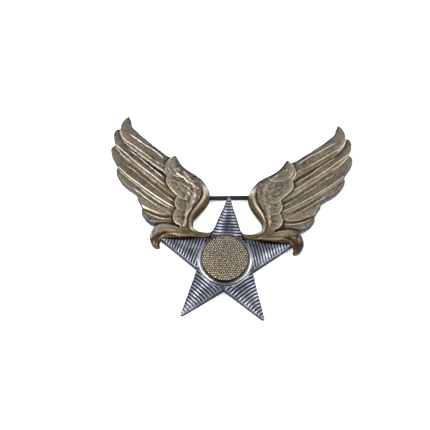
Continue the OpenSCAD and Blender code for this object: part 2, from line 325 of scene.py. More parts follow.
# ------------------------------------------------------------------ wing relief
OUT = [
    [(3.3, 7.6), (4.0, 7.05), (5.0, 6.95), (6.0, 7.0), (7.0, 7.25), (7.7, 7.7), (8.1, 8.3), (8.2, 9.0),
     (8.0, 9.7), (7.5, 10.4), (6.8, 11.2), (6.1, 12.1), (5.4, 13.1), (4.9, 14.1), (4.65, 15.0), (4.6, 15.9),
     (4.7, 16.9), (4.9, 17.9), (5.3, 18.8), (5.9, 19.6), (6.8, 20.4), (7.9, 21.1), (9.1, 21.8), (10.3, 22.5),
     (11.3, 23.3), (12.0, 24.1), (12.6, 25.0), (13.1, 25.8), (13.6, 26.15), (14.1, 25.8), (14.5, 25.55)],
    [(14.5, 25.55), (15.0, 25.7), (16, 26.3), (17, 27.1), (18, 27.8), (19, 28.5), (20, 29.3), (21, 30.1),
     (22, 30.9), (23, 31.8), (24, 32.7), (24.6, 33.4), (24.95, 34.2), (25.05, 35.0), (25.3, 35.6), (25.6, 35.8),
     (26.1, 35.6), (26.7, 34.9), (27.1, 34.2), (27.4, 33.4), (27.5, 32.6), (27.6, 32.3)],
    [(27.6, 32.3), (28.0, 32.35), (28.5, 32.1), (28.9, 31.4), (29.0, 30.6), (28.9, 29.7), (28.6, 28.7), (28.4, 28.0)],
    [(28.4, 28.0), (28.8, 27.8), (29.2, 27.3), (29.3, 26.6), (29.15, 25.7), (28.8, 24.7), (28.2, 23.6), (27.6, 22.7), (27.2, 22.1)],
    [(27.2, 22.1), (27.45, 21.7), (27.5, 21.0), (27.3, 20.2), (26.9, 19.4), (26.3, 18.5), (25.5, 17.6), (24.5, 16.8),
     (23.4, 16.1), (22.6, 15.6), (22.0, 15.1)],
    [(22.0, 15.1), (21.9, 14.5), (21.5, 13.7), (21.1, 13.0), (20.7, 12.2), (20.5, 12.0)],
    [(20.5, 12.0), (20.6, 11.3), (20.4, 10.5), (20.0, 9.8), (19.5, 9.1), (18.8, 8.5), (18.0, 8.0), (17.2, 7.6)],
    [(17.2, 7.6), (17.6, 7.05), (18.0, 6.3), (18.2, 5.4), (18.1, 4.5), (17.85, 3.7), (17.45, 2.95), (16.95, 2.45),
     (16.35, 2.25), (15.85, 2.4), (15.65, 2.9), (15.75, 3.5), (15.6, 4.0), (15.3, 4.2), (14.6, 4.3), (13.5, 4.5),
     (9.0, 4.6), (7.2, 4.5), (6.0, 4.5), (5.0, 4.6), (4.0, 4.9), (3.3, 5.5), (3.0, 6.4), (3.1, 7.1)],
]


def seen_outline():
    """The outline as the eye sees it from a little below, moved in to where the top's edge really is."""
    pts, keep = [], []
    for part in OUT:
        s = smooth(part, 0.3)
        pts.append(s[:-1])
    p = np.vstack(pts)
    t = np.roll(p, -2, 0) - np.roll(p, 2, 0)
    t /= np.maximum(np.linalg.norm(t, axis=1, keepdims=True), 1e-9)
    n = np.stack([-t[:, 1], t[:, 0]], 1)  # the list runs clockwise: this is outwards
    n = (np.roll(n, 1, 0) + 2 * n + np.roll(n, -1, 0)) / 4
    n /= np.maximum(np.linalg.norm(n, axis=1, keepdims=True), 1e-9)
    inward = (
        0.54 * np.maximum(-n[:, 1], 0)
        + 0.16 * np.maximum(n[:, 1], 0)
        + 0.08 * np.abs(n[:, 0])
    )
    return p - n * inward[:, None]


def lay(pts, z=2.6):
    """Puts a line read at the height 1.5 mm down at its own height z."""
    k = 0.30 * (z - 1.5)
    return [(x, y - k) for x, y in pts]


F_EDGE = {
    1: [(28.2, 33.6), (27.75, 32.8), (27.5, 31.8), (27.2, 30.6), (26.4, 29.3), (25.3, 28.1), (24.5, 27.4), (23, 26.4),
        (21.5, 25.3), (20, 24.3), (18.5, 23.2), (17, 22.2), (16, 21.5), (15.2, 20.7), (14.2, 20)],
    2: [(29.4, 28.9), (28.5, 28.1), (28.0, 27.3), (27, 26.1), (26, 24.9), (25.2, 24.0), (24, 23.1), (22, 21.6),
        (20, 20.0), (18, 18.6), (16, 17.0), (14, 15.7), (12.5, 14.9), (11, 14.5)],
    3: [(28.6, 23.2), (27.4, 22.2), (26.6, 21.3), (25.5, 20.3), (24.3, 19.2), (22.5, 17.8), (21, 16.7), (20, 15.9),
        (18.5, 14.9), (17, 14.0), (15.5, 13.1), (14, 12.3), (12.4, 11.6), (11, 11.2)],
    4: [(23.8, 15.9), (22.6, 15.7), (21.6, 15.5), (20.2, 14.8), (18.5, 13.7), (17, 12.7), (15.5, 11.7), (14, 11.0), (12.5, 10.3), (11, 9.8)],
    5: [(22.2, 13.3), (20.9, 12.5), (20, 12.2), (19, 11.8), (18, 11.4), (17, 11.0), (16, 10.8), (15, 10.7), (14, 10.7), (13, 10.9), (11.5, 11.3)],
}
QUILLS = {  # points, half width, height
    1: [([(25.3, 31.6), (25, 31.3), (23, 30), (21, 28.7), (19, 27.5), (17, 26), (15.7, 24.6)], 0.26, 0.20)],
    2: [([(25.2, 27.4), (24.5, 27), (23, 26), (21.5, 24.9), (20, 23.6), (18, 22.0), (16.5, 20.9), (15.4, 20.1)], 0.27, 0.24)],
    3: [([(25.4, 23.4), (24, 22.5), (23, 21.9), (21, 20.3), (19, 18.8), (17, 17.4), (15, 15.9), (13.5, 14.8), (12.4, 14.1)], 0.27, 0.24)],
    4: [([(23.6, 17.9), (23, 17.6), (22, 16.8), (21, 16.1), (20, 15.3), (18.5, 14.3), (17, 13.3), (15.5, 12.3), (14, 11.5), (12.5, 10.8)], 0.27, 0.24)],
    6: [([(20.3, 12.1), (20, 11.9), (18.5, 11.1), (17, 10.5), (15.5, 10.1), (14, 10.0), (12.8, 10.1)], 0.26, 0.18)],
}
TROUGHS = {  # the sunk strip between a feather's quill and the feather above it
    1: [([(22.5, 30.0), (21, 29.0), (19, 27.8), (17, 26.4), (15.6, 25.3)], 0.3, 0.10)],
    2: [([(23.5, 26.8), (21.5, 25.4), (20, 24.2), (18.5, 23.0), (17, 21.95), (16, 21.3), (15.0, 20.5)], 0.6, 0.34)],
    3: [([(23, 22.4), (22, 21.5), (20, 19.85), (18, 18.45), (16, 16.9), (14.5, 15.8), (13, 14.8)], 0.44, 0.30)],
    4: [([(22, 17.35), (20, 15.75), (18.5, 14.7), (17, 13.75), (15.5, 12.8), (14, 12.0), (12.7, 11.45)], 0.40, 0.30)],
    6: [([(19.5, 12.0), (18, 11.1), (16.5, 10.7), (15, 10.45), (13.4, 10.6)], 0.26, 0.16)],
}
RIMS = {
    1: [
        ([(27.45, 32.3), (27.0, 31.1), (26.15, 30.0), (25.1, 29.15), (23.5, 28.2), (22, 27.1), (20.5, 26.1), (19, 25.0), (17, 23.8), (15.6, 22.9)], 0.21, 0.17),
        ([(27.1, 32.4), (26.5, 31.2), (25.6, 30.3), (24.4, 29.5), (22.5, 28.3)], 0.2, 0.08),
    ],
    2: [
        ([(28.2, 28.5), (27.2, 27.7), (26, 26.7), (25, 25.9), (24, 25.0), (22.5, 23.8), (21, 22.6), (19, 21.2), (17, 19.7), (15.2, 18.4)], 0.22, 0.2),
        ([(28.3, 28.0), (27.4, 27.0), (26.2, 25.7), (25, 24.7), (24, 24.0)], 0.2, 0.12),
    ],
    3: [
        ([(28.0, 23.7), (27, 22.7), (25, 21.0), (23.5, 19.8), (22, 18.8), (20.5, 17.7), (19, 16.7), (17.5, 15.7), (16, 14.8), (14.5, 13.9), (12.7, 13.0)], 0.22, 0.2),
        ([(26.9, 22.0), (25.5, 20.8), (24, 19.6), (22, 18.1), (20.5, 16.9), (19, 15.8), (17, 14.6), (15.5, 13.7), (14, 12.9), (12.5, 12.2)], 0.18, 0.11),
    ],
    4: [([(27.2, 19.7), (26.2, 18.6), (25.2, 17.8), (24, 17.1), (22.9, 16.5)], 0.22, 0.15)],
    5: [([(21.7, 14.2), (20.6, 13.2), (19.9, 12.8), (19, 12.4), (18, 12.0), (17, 11.6), (16, 11.3), (15, 11.2), (14, 11.2)], 0.24, 0.12)],
    6: [
        ([(20.2, 10.2), (19.4, 9.5), (18.4, 9.0)], 0.22, 0.13),
        ([(18.6, 9.6), (17, 9.3), (15.3, 9.35), (13.4, 9.3)], 0.28, 0.10),
    ],
}
LOBES = [  # right-hand edge of each covert lobe, a point inside it, its height
    ([(14.0, 26.0), (14.6, 24.9), (15.0, 24), (15.1, 23.2), (14.9, 22.4), (14.4, 21.6), (13.8, 21.0), (12.9, 20.6), (11.8, 20.3), (10.6, 20.3), (9.4, 20.7), (8.2, 21.3)], (12, 23), 3.05),
    ([(14.6, 25.6), (15.4, 24.4), (15.75, 23.3), (15.6, 22.2), (15.1, 21.4), (14.5, 20.8), (13.4, 20.2), (12, 19.7), (10, 19.6)], (12, 23), 2.92),
    ([(14.8, 21.3), (15.2, 20.3), (15.2, 19.3), (14.8, 18.4), (14.2, 17.6), (13.4, 16.8), (12.5, 16.0), (11.7, 15.3), (10.9, 14.9), (9.8, 14.8), (8.8, 15.1), (7.6, 15.8)], (11, 17.5), 2.98),
    ([(12.4, 15.6), (12.8, 14.6), (12.75, 13.7), (12.35, 12.9), (11.8, 12.3), (10.9, 12.0), (9.9, 12.1), (9.2, 12.6)], (10.6, 13.4), 2.9),
    ([(12.1, 12.8), (12.7, 11.8), (12.95, 10.8), (12.85, 9.9), (12.4, 9.1), (11.7, 8.6), (10.8, 8.3), (9.8, 8.3)], (10.8, 10.4), 2.84),
]
LOBE_RIDGES = [
    ([(9.2, 18.9), (10.2, 19.6), (11, 20.5), (12, 21.1), (13, 21.8)], 0.3, 0.16),
    ([(11.6, 21.9), (12.4, 22.5), (13.2, 23.1), (13.8, 24)], 0.35, 0.14),
    ([(9.2, 17.3), (10.2, 18.2), (11.4, 19.0), (12.8, 19.4), (14.2, 19.7)], 0.45, 0.14),
    ([(9.0, 16.3), (10.2, 16.9), (11.3, 17.4), (12.4, 18.0), (13.6, 18.6)], 0.3, 0.12),
    ([(11.3, 22.2), (10.4, 21.2), (9.6, 20.1), (8.6, 18.9), (8.2, 17.6), (8.1, 16.6), (8.6, 15.5), (8.7, 14.6), (9.3, 13.6), (9.6, 12.4), (9.95, 11.4), (9.9, 9.8), (9.6, 8.6)], 0.55, 0.24),
    ([(8.0, 18.2), (8.9, 18.3), (9.6, 17.7), (9.3, 16.9), (9.9, 16.2), (10.2, 15.3), (9.6, 14.6)], 0.3, 0.2),
    ([(9.6, 14.2), (10.6, 14.2), (11.6, 13.9)], 0.35, 0.12),
    ([(10.2, 11.2), (11.2, 11.2), (12, 10.8)], 0.35, 0.12),
    ([(10.3, 9.7), (11.3, 10.0), (12.1, 9.9)], 0.3, 0.12),
    ([(8.0, 19.2), (9.2, 20.0), (10.2, 20.6)], 0.35, 0.12),
]
LOBE_GROOVES = [
    ([(11.2, 20.9), (12.4, 21.5), (13.6, 22.2), (14.4, 22.9)], 0.22, 0.2),
    ([(11.8, 22.8), (12.8, 23.1), (13.6, 23.7)], 0.2, 0.14),
    ([(8.9, 17.0), (10.0, 17.6), (11, 18.2), (12.3, 18.9)], 0.24, 0.24),
    ([(10.2, 15.9), (11.4, 16.7), (12.6, 17.4), (13.6, 18.0)], 0.2, 0.14),
    ([(9.3, 13.3), (10, 13.5), (10.8, 13.6), (11.6, 13.3)], 0.22, 0.2),
    ([(10.2, 10.6), (11.1, 10.7), (11.9, 10.3)], 0.2, 0.16),
    ([(9.4, 16.1), (9.3, 15.2), (9.9, 14.6)], 0.22, 0.16),
    ([(8.2, 18.2), (9.3, 18.7), (10.2, 19.5)], 0.22, 0.14),
]
ROLL = [(6.7, 19.5), (6.2, 18.6), (5.95, 17.6), (5.85, 16.6), (6.0, 15.6), (6.5, 14.5), (7.2, 13.4), (7.9, 12.3), (8.4, 11.2),
        (8.75, 10.2), (8.8, 9.2), (8.5, 8.3), (7.8, 7.6), (6.8, 7.0)]
# the line along the rolled edge's crest that gets a painted highlight
CREST_HIGHLIGHT_LINE = [(6.3, 18.6), (5.95, 17.6), (5.7, 16.5), (5.75, 15.8), (6.15, 15), (6.6, 14.2), (7.2, 13.2), (7.95, 12.1), (8.4, 11), (8.8, 9.6), (8.5, 8.2)]
ROLL_GROOVE = [(6.55, 18.3), (6.45, 17.2), (6.55, 16.2), (6.95, 15.1), (7.5, 14.1), (8.2, 13.0), (8.8, 12.0), (9.2, 11.0), (9.4, 10), (9.35, 9.2)]
CURL_EDGE = [(19.2, 6.9), (18.2, 7.4), (17.3, 8.05), (16, 8.65), (15, 8.85), (14, 8.85), (12.5, 8.6), (11.5, 8.2), (10.4, 7.6), (9.4, 7.2)]
CURL_RIB = [(3.2, 6.1), (4.4, 5.9), (7, 6.0), (10, 6.1), (13.2, 6.3), (14.8, 5.9), (15.7, 5.0), (16.1, 4.0), (16.15, 3.2)]
CURL_SOFT = [(9.6, 7.5), (12, 7.9), (14.5, 8.0), (16.2, 7.3), (17.0, 6.2), (17.1, 4.9), (16.8, 3.7)]
WINDOW_SIDE = [(5.6, 18.8), (4.8, 16.9), (4.75, 15), (5.5, 13.2), (6.9, 11.3), (8.2, 9.8), (8.3, 8.4), (7.2, 7.2), (5, 6.8), (3.4, 7.2)]
SHOULDER = [(5.6, 19.2), (7, 20.4), (9.2, 21.7), (11.4, 23.2), (12.6, 24.9), (13.3, 25.8)]
SPACING = 0.08


def ridge(px, py, h, pts, w, a, z=2.7, end=0.8, sign=1.0):
    """Adds a rounded ridge (or groove) along a line, fading at both ends."""
    line = smooth(lay(pts, z), 0.4)
    lo, hi = line.min(0) - w, line.max(0) + w
    m = (px > lo[0]) & (px < hi[0]) & (py > lo[1]) & (py < hi[1])
    if not m.any():
        return
    d, _, arc = nearest(px[m], py[m], line)
    total = np.linalg.norm(np.diff(line, axis=0), axis=1).sum()
    e = min(end / total, 0.45)
    fade = step01(-0.02, e, arc) * step01(-0.02, e, 1 - arc)
    h[m] += sign * a * hump(d, w) * fade


def edge_side(px, py, pts, ref, z=2.5):
    """Signed distance from an edge line, positive on the side of ref."""
    line = smooth(lay(pts, z), 0.4)
    d, s, arc = nearest(px, py, line)
    _, r, _ = nearest(np.array([ref[0]]), np.array([ref[1]]), line)
    return d * s * r[0], arc


RAISED_HIGHLIGHT_LINES = {  # lines raised a little and painted bright as highlights: points, half width, height
    False: [
        ([(6.7, 13.5), (7.4, 12.1), (8.1, 10.6), (8.5, 8.8)], 0.35, 0.06),
        ([(5.7, 17.2), (5.65, 16.2), (5.85, 15.3), (6.3, 14.3)], 0.5, 0.15),
        ([(10.9, 21.5), (12.3, 22.6), (13.6, 23.1)], 0.3, 0.05),
        ([(7.6, 15.2), (8.7, 14.2), (10.4, 13.7)], 0.3, 0.05),
    ],
    True: [
        ([(13.9, 23.0), (13.2, 21.8), (12.2, 20.7), (10.9, 20.0), (9.8, 19.1), (8.9, 18.5), (7.5, 17.4)], 0.42, 0.13),
        ([(8.9, 16.6), (8.1, 15.6), (8.2, 14.4), (8.8, 13.3), (8.9, 12.2), (9.6, 11.1), (9.9, 9.4), (10.1, 8.0)], 0.4, 0.13),
        ([(12.4, 18.7), (11.4, 17.6), (10.3, 17.0), (9.1, 15.5)], 0.3, 0.09),
    ],
}
DARK_SPOT_LINES = {  # lines painted darker in noisy patches, with no pits in the relief: points, half width, how much darker
    False: [
        ([(6.6, 16.4), (6.8, 15.2), (7.3, 14.1), (8.0, 12.9), (8.7, 11.6)], 0.4, 0.4),
        ([(24.5, 29.2), (22.0, 27.0), (19.0, 24.8), (16.4, 22.8)], 0.35, 0.22),
        ([(12.5, 8.6), (14.6, 8.3), (16.2, 7.4), (17.0, 6.0)], 0.8, 0.3),
    ],
    True: [
        ([(20.5, 25.8), (18.0, 24.0), (16.0, 22.4)], 0.5, 0.3),
        ([(24.0, 25.4), (21.0, 23.4), (18.4, 21.6)], 0.5, 0.18),
        ([(16.9, 6.4), (17.3, 5.2), (17.0, 3.8)], 0.5, 0.2),
    ],
}
STAINED = {  # gaps that keep orange-brown grime: points, half width
    False: [
        ([(25.2, 28.3), (23.4, 26.8), (21.6, 25.5), (19.8, 24.2), (18.0, 22.8), (16.0, 21.4)], 0.6),
        ([(20.0, 12.3), (17.5, 11.3), (14.5, 10.8)], 0.5),
    ],
    True: [
        ([(17.4, 18.2), (15.8, 17.2), (14.0, 15.9), (12.8, 15.3)], 0.7),
        ([(18.5, 11.4), (16.0, 10.6), (13.5, 10.5)], 0.6),
        ([(13.5, 7.1), (11.5, 6.9), (9.5, 6.6)], 0.5),
    ],
}
NAVY = {  # where the grime has gone blue-black: x, y, radius
    False: [(16.5, 25.0, 3.0), (26.0, 28.5, 2.0), (19.5, 8.8, 2.5)],
    True: [(17.0, 22.6, 4.4), (24.2, 26.4, 4.0), (15.0, 24.6, 2.6), (20.6, 17.4, 2.5), (17.5, 8.6, 3.2)],
}


def wing_fields(seed, strong, left):
    xs = np.arange(2.4, 30.0, SPACING)
    ys = np.arange(1.6, 36.6, SPACING)
    X, Y = np.meshgrid(xs, ys)
    outline = seen_outline()
    S = signed(X.ravel(), Y.ravel(), outline).reshape(X.shape)
    free = S.copy()
    # the star takes its own space out of the wing's root
    starp = star_polygon(16.09, 6.81)
    S = np.minimum(S, -signed(X.ravel(), Y.ravel(), starp).reshape(X.shape))
    m = S > -0.4
    px, py = X[m], Y[m]
    # long feathers, each lying over the next one below it
    tips = {1: (2.80, 0.08), 2: (2.70, 0.08), 3: (2.62, 0.08), 4: (2.52, 0.06), 5: (2.46, 0.03)}
    out_far = step01(14, 28, px)
    h = 2.30 - 0.10 * step01(9, 20, px) + 0 * py  # the lowest feather
    sixth = h + 0.12 * hump(py - 9.7, 2.2)
    h = sixth
    vane = h.copy()
    for k in (6, 5, 4, 3, 2, 1):
        if k == 6:
            f, s = h, None
        else:
            s, arc = edge_side(px, py, F_EDGE[k], (16, 30))
            s = s - 0.06
            base, slope = tips[k]
            f = base - 0.22 * out_far - slope * np.clip(s - 0.9, 0, 3.2)
            if k == 5:
                f = base - 0.1 * out_far + 0.16 * hump(s - 1.1, 1.6)
            if k == 4:
                f = f - 0.05
        flat = f.copy()
        for pts, w, a in QUILLS.get(k, []):
            ridge(px, py, f, pts, w, a, end=1.8)
        for pts, w, a in TROUGHS.get(k, []):
            ridge(px, py, f, pts, w, a, end=2.2, sign=-1)
        for pts, w, a in RIMS.get(k, []):
            ridge(px, py, f, pts, w, a)
        if s is None:
            h, vane = f, flat
            continue
        lean = {1: 0.0, 2: 0.22, 3: 0.12, 4: 0.0, 5: 0.0}[k]
        f = f - lean * (1 - step01(0.0, 0.75, s)) * step01(26.5, 22, px)
        wall = np.where(s < 0, np.abs(s) * 7.0, 0) + 0.10 * np.clip(0.14 - s, 0, 0.14) / 0.14
        f = f - wall
        vane = np.where(f > h, flat - wall, vane)
        h = np.maximum(h, f)
    # barbs: fine slanting furrows across the vanes
    ang = math.radians(74)
    warp = 0.35 * wobble(px, py, 2.1, 5)
    q = (px * math.cos(ang) + py * math.sin(ang)) * -0.35 + px * 0.93 + warp
    barb = np.sin(q * 2 * math.pi / 0.5) * (0.6 + 0.4 * wobble(px, py, 1.3, 9))
    near_ridge = np.clip(np.abs(h - vane) / 0.10, 0, 1)
    h += 0.03 * barb * (1 - near_ridge) * step01(12.5, 15, px) * (1 - step01(30.0, 32.0, py))
    # curl: the rolled band under the feathers that turns down round the star's point
    s, _ = edge_side(px, py, CURL_EDGE, (13, 6.6))
    s_curl = s
    c = 2.42 + 0.52 * (1 - np.clip((s - 1.15) / 1.35, -1, 1) ** 2) * step01(-0.1, 0.5, s)
    c = c - np.where(s < 0, np.abs(s) * 7.0, 0)
    h = np.maximum(h, c)
    ridge(px, py, h, CURL_SOFT, 0.5, 0.07)
    ridge(px, py, h, CURL_RIB, 0.34, 0.26)
    ridge(px, py, h, [(5.5, 6.75), (8.5, 6.75), (11, 6.8), (13.4, 7.0), (15.0, 6.5), (15.9, 5.6), (16.4, 4.6)], 0.2, 0.12, sign=-1)
    ridge(px, py, h, [(12.4, 8.15), (14.0, 8.35), (15.6, 8.1), (16.9, 7.3), (17.5, 6.2)], 0.22, 0.05, sign=-1)
    # the coverts run down into the root of the wing
    root = step01(12.3, 11.0, px) * step01(9.6, 8.7, py)
    h = np.maximum(h, (2.78 - 0.12 * step01(9, 5, px)) * root)
    # covert lobes
    scale = np.zeros_like(h)
    for pts, ref, top in LOBES:
        s, arc = edge_side(px, py, pts, ref, 2.8)
        s = s - 0.04
        f = top - 0.05 * np.clip(s - 0.8, 0, 4)
        f = f + (0.075 * hump(s - 0.24, 0.26) + 0.06 * hump(s - 0.80, 0.28)) * (0.7 + 0.9 * wobble(px, py, 0.8, seed + 51)) * step01(9.8, 11.6, px - 0.2 * np.clip(py - 18, 0, 8))
        f = f - np.where(s < 0, np.abs(s) * 7.0, 0)
        f = np.where(s > -0.4, f, 0)
        take = f > h
        h = np.where(take, f, h)
        scale = np.where(take & (s > 0.9), 1.0, scale)
    # towards the leading edge the lobes run into each other
    inner = step01(11.6, 9.8, px + 0.25 * np.clip(py - 16, 0, 8) * -1) * step01(8.4, 9.2, py)
    h = np.maximum(h, 2.93 * inner)
    for pts, w, a in LOBE_RIDGES:
        ridge(px, py, h, pts, w, a * 0.62 * strong, 2.9, end=1.0)
    for pts, w, a in LOBE_GROOVES:
        ridge(px, py, h, pts, w, a * 0.42 * strong, 2.9, end=1.0, sign=-1)
    # small scale feathers over the shoulder
    dots = wobble(px, py, 0.30, seed + 3) * 0.55 + wobble(px, py, 0.55, seed + 4) * 0.45
    h += 0.09 * dots * np.maximum(scale, step01(12.4, 11.4, px) * step01(8.6, 9.6, py) * 0.6)
    for line, w, up in RAISED_HIGHLIGHT_LINES[left]:
        d, _, _ = nearest(px, py, smooth(line, 0.4))
        h += up * hump(d, w)
    # the curl's back is pitted
    pit = step01(3.8, 2.2, np.hypot(px - 16.6, py - 5.2)) * step01(-0.2, 0.6, s_curl)
    h += 0.055 * pit * wobble(px, py, 0.34, seed + 71)
    # rolled leading edge with the furrow behind it
    line = smooth(lay(ROLL, 3.0), 0.4)
    d, sd, arc = nearest(px, py, line)
    sd = sd * d  # +: on the window's side? fixed below by a reference point
    _, r, _ = nearest(np.array([4.9]), np.array([14.5]), line)
    outer = sd * r[0]
    fade = step01(0.0, 0.16, arc) * step01(-0.01, 0.12, 1 - arc)
    roll_h = 3.22 - 0.10 * step01(0.55, 1, arc)
    roll_top = roll_h - np.where(outer < 0, 1.3 * np.clip(-outer, 0, 2) ** 1.6, 0.05 * np.clip(outer, 0, 3) ** 2)
    h = np.where(
        (outer > -0.9) & (outer < 3.0), h * (1 - fade) + np.maximum(roll_top, np.where(outer > 0, 0, h - 0.0)) * fade, h
    )
    ridge(px, py, h, ROLL_GROOVE, 0.32, 0.15, 2.9, end=1.6, sign=-1)
    # everything is a little uneven, as cast and worn metal is
    h += 0.025 * wobble(px, py, 1.7, seed + 11) + 0.02 * wobble(px, py, 0.4, seed + 12)
    H = np.full(X.shape, 2.4)
    H[m] = h
    W = m.astype(float)
    H = np.where(m, blur(H, W, 0.06, SPACING), H)
    # edge radius: wide on the window's side and shoulder, small at the feather tips
    d1, _, _ = nearest(px, py, smooth(WINDOW_SIDE, 0.5))
    d2, _, _ = nearest(px, py, smooth(SHOULDER, 0.5))
    r = 0.38 + 0 * px
    r = np.maximum(r, 1.55 * (1 - step01(1.3, 2.4, d1)) * step01(7.2, 9.4, py) + 0.6 * (1 - step01(0.8, 1.6, d1)))
    r = np.maximum(r, 1.1 * (1 - step01(1.0, 2.0, d2)))
    dcurl = np.hypot(px - 16.6, py - 4.6)
    r = np.maximum(r, 0.95 * (1 - step01(2.2, 3.4, dcurl)))
    R = np.full(X.shape, 0.26)
    R[m] = r
    R = blur(R, W, 0.35, SPACING)
    R = np.maximum(R, 0.22)
    # cav: height above the blurred height; darker in hollows, as tarnish and as painted shade, lighter on crests
    cav_s = H - blur(H, W, 0.32, SPACING)
    cav_l = H - blur(H, W, 0.9, SPACING)
    cav = np.where(m, cav_s * 1.6 + cav_l * 0.8, 0)
    # painted highlight along the crest of the rolled edge
    dp, _, ap = nearest(px, py, smooth(lay(CREST_HIGHLIGHT_LINE, 3.0), 0.4))
    crest_highlight = 0.62 * hump(dp, 0.38) * step01(0.0, 0.12, ap) * (1 - 0.55 * step01(0.35, 0.7, ap)) * (0.75 + 0.35 * wobble(px, py, 0.8, seed + 61))
    cav[m] += crest_highlight
    cav[m] -= (0.10 if left else 0.26) * pit * step01(-0.1, 0.9, s_curl)
    # painted highlights along the same raised lines
    for line, w, up in RAISED_HIGHLIGHT_LINES[left]:
        d, _, _ = nearest(px, py, smooth(line, 0.4))
        cav[m] += 2.4 * up * hump(d, w * 0.8) * (0.6 + 0.6 * wobble(px, py, 0.6, seed + 62))
    gold = np.zeros(X.shape)
    # gold: the gold wash's own warm colour; on the lower window-side slope it is also a darker brown as painted shade
    gg = 0.9 * (1 - step01(0.6, 2.0, d1)) * step01(6.4, 8.5, py) * (1 - step01(15.0, 17.5, py))
    band = 0.6 * (1 - step01(6.4, 7.6, py)) * (1 - step01(6, 12, px))
    dr, _, _ = nearest(px, py, smooth(lay(CURL_RIB, 2.8), 0.5))
    gg = np.maximum(gg, 0.9 * (1 - step01(0.3, 0.7, dr)))
    gg = np.maximum(gg, band)
    cs, _ = edge_side(px, py, CURL_EDGE, (13, 6.6))
    gg = np.maximum(gg, 0.4 * step01(0.2, 0.8, cs) * step01(9.5, 11.5, px) * step01(17.0, 15.0, px))
    for line, w in STAINED[left]:
        d, _, _ = nearest(px, py, smooth(line, 0.4))
        gg = np.maximum(gg, 0.9 * hump(d, w))
    gold[m] = gg
    # along the outline, most of all on the curl and the shoulder, the colour turns a dark blue-grey: painted reflection
    # and painted shade of the sloping edge
    rim = np.zeros(X.shape)
    d3, _, _ = nearest(px, py, smooth([(14.5, 25.6), (17, 27.1), (20, 29.3), (23, 31.8), (24.6, 33.4), (25.2, 35.4)], 0.5))
    wide = 0.5 + 0.5 * step01(3.2, 1.8, np.hypot(px - 17.0, py - 4.6)) + 0.9 * (1 - step01(1.0, 2.2, d2)) + 0.35 * (1 - step01(0.5, 1.2, d3))
    rim[m] = np.clip(1 - free[m] / wide, 0, 1) ** 0.8 * (0.8 + 0.4 * wobble(px, py, 1.0, seed + 81))
    # painted shade: darker right at the outline, along the shoulder and along the upper edge
    cav[m] -= 0.20 * step01(0.20, 0.02, free[m]) + 0.30 * step01(0.10, 0.0, free[m])
    cav[m] -= 0.22 * (1 - step01(0.3, 1.4, d2)) + 0.16 * (1 - step01(0.1, 0.8, d3))
    # darker patches painted along these lines; the relief has no pits there
    for line, w, darken in DARK_SPOT_LINES[left]:
        d, _, _ = nearest(px, py, smooth(line, 0.4))
        cav[m] -= darken * hump(d, w) * np.clip(0.5 + 0.9 * wobble(px, py, 0.45, seed + 91), 0, 1.3)
    navy = np.zeros(X.shape)
    for cx, cy, rad in NAVY[left]:
        navy[m] = np.maximum(navy[m], step01(rad, 0.3 * rad, np.hypot(px - cx, py - cy)))
    return xs, ys, S, H, R, {"cav": cav, "gold": gold, "rim": np.clip(rim, 0, 1), "navy": navy}


def star_polygon(r, n):
    return np.array(
        [
            ((r if i % 2 == 0 else n) * math.cos(math.radians(90 + 36 * i)),
             (r if i % 2 == 0 else n) * math.sin(math.radians(90 + 36 * i)))
            for i in range(10)
        ]
    )


def moved_in(poly, r):
    """The polygon with every edge moved r inwards (its points run counter-clockwise)."""
    n = len(poly)
    out = []
    for i in range(n):
        a, b, c = poly[i - 1], poly[i], poly[(i + 1) % n]
        u, v = (b - a) / np.linalg.norm(b - a), (c - b) / np.linalg.norm(c - b)
        nu, nv = np.array([-u[1], u[0]]), np.array([-v[1], v[0]])
        m = nu + nv
        out.append(b + m * r / (0.5 * (m @ m)))
    return np.array(out)


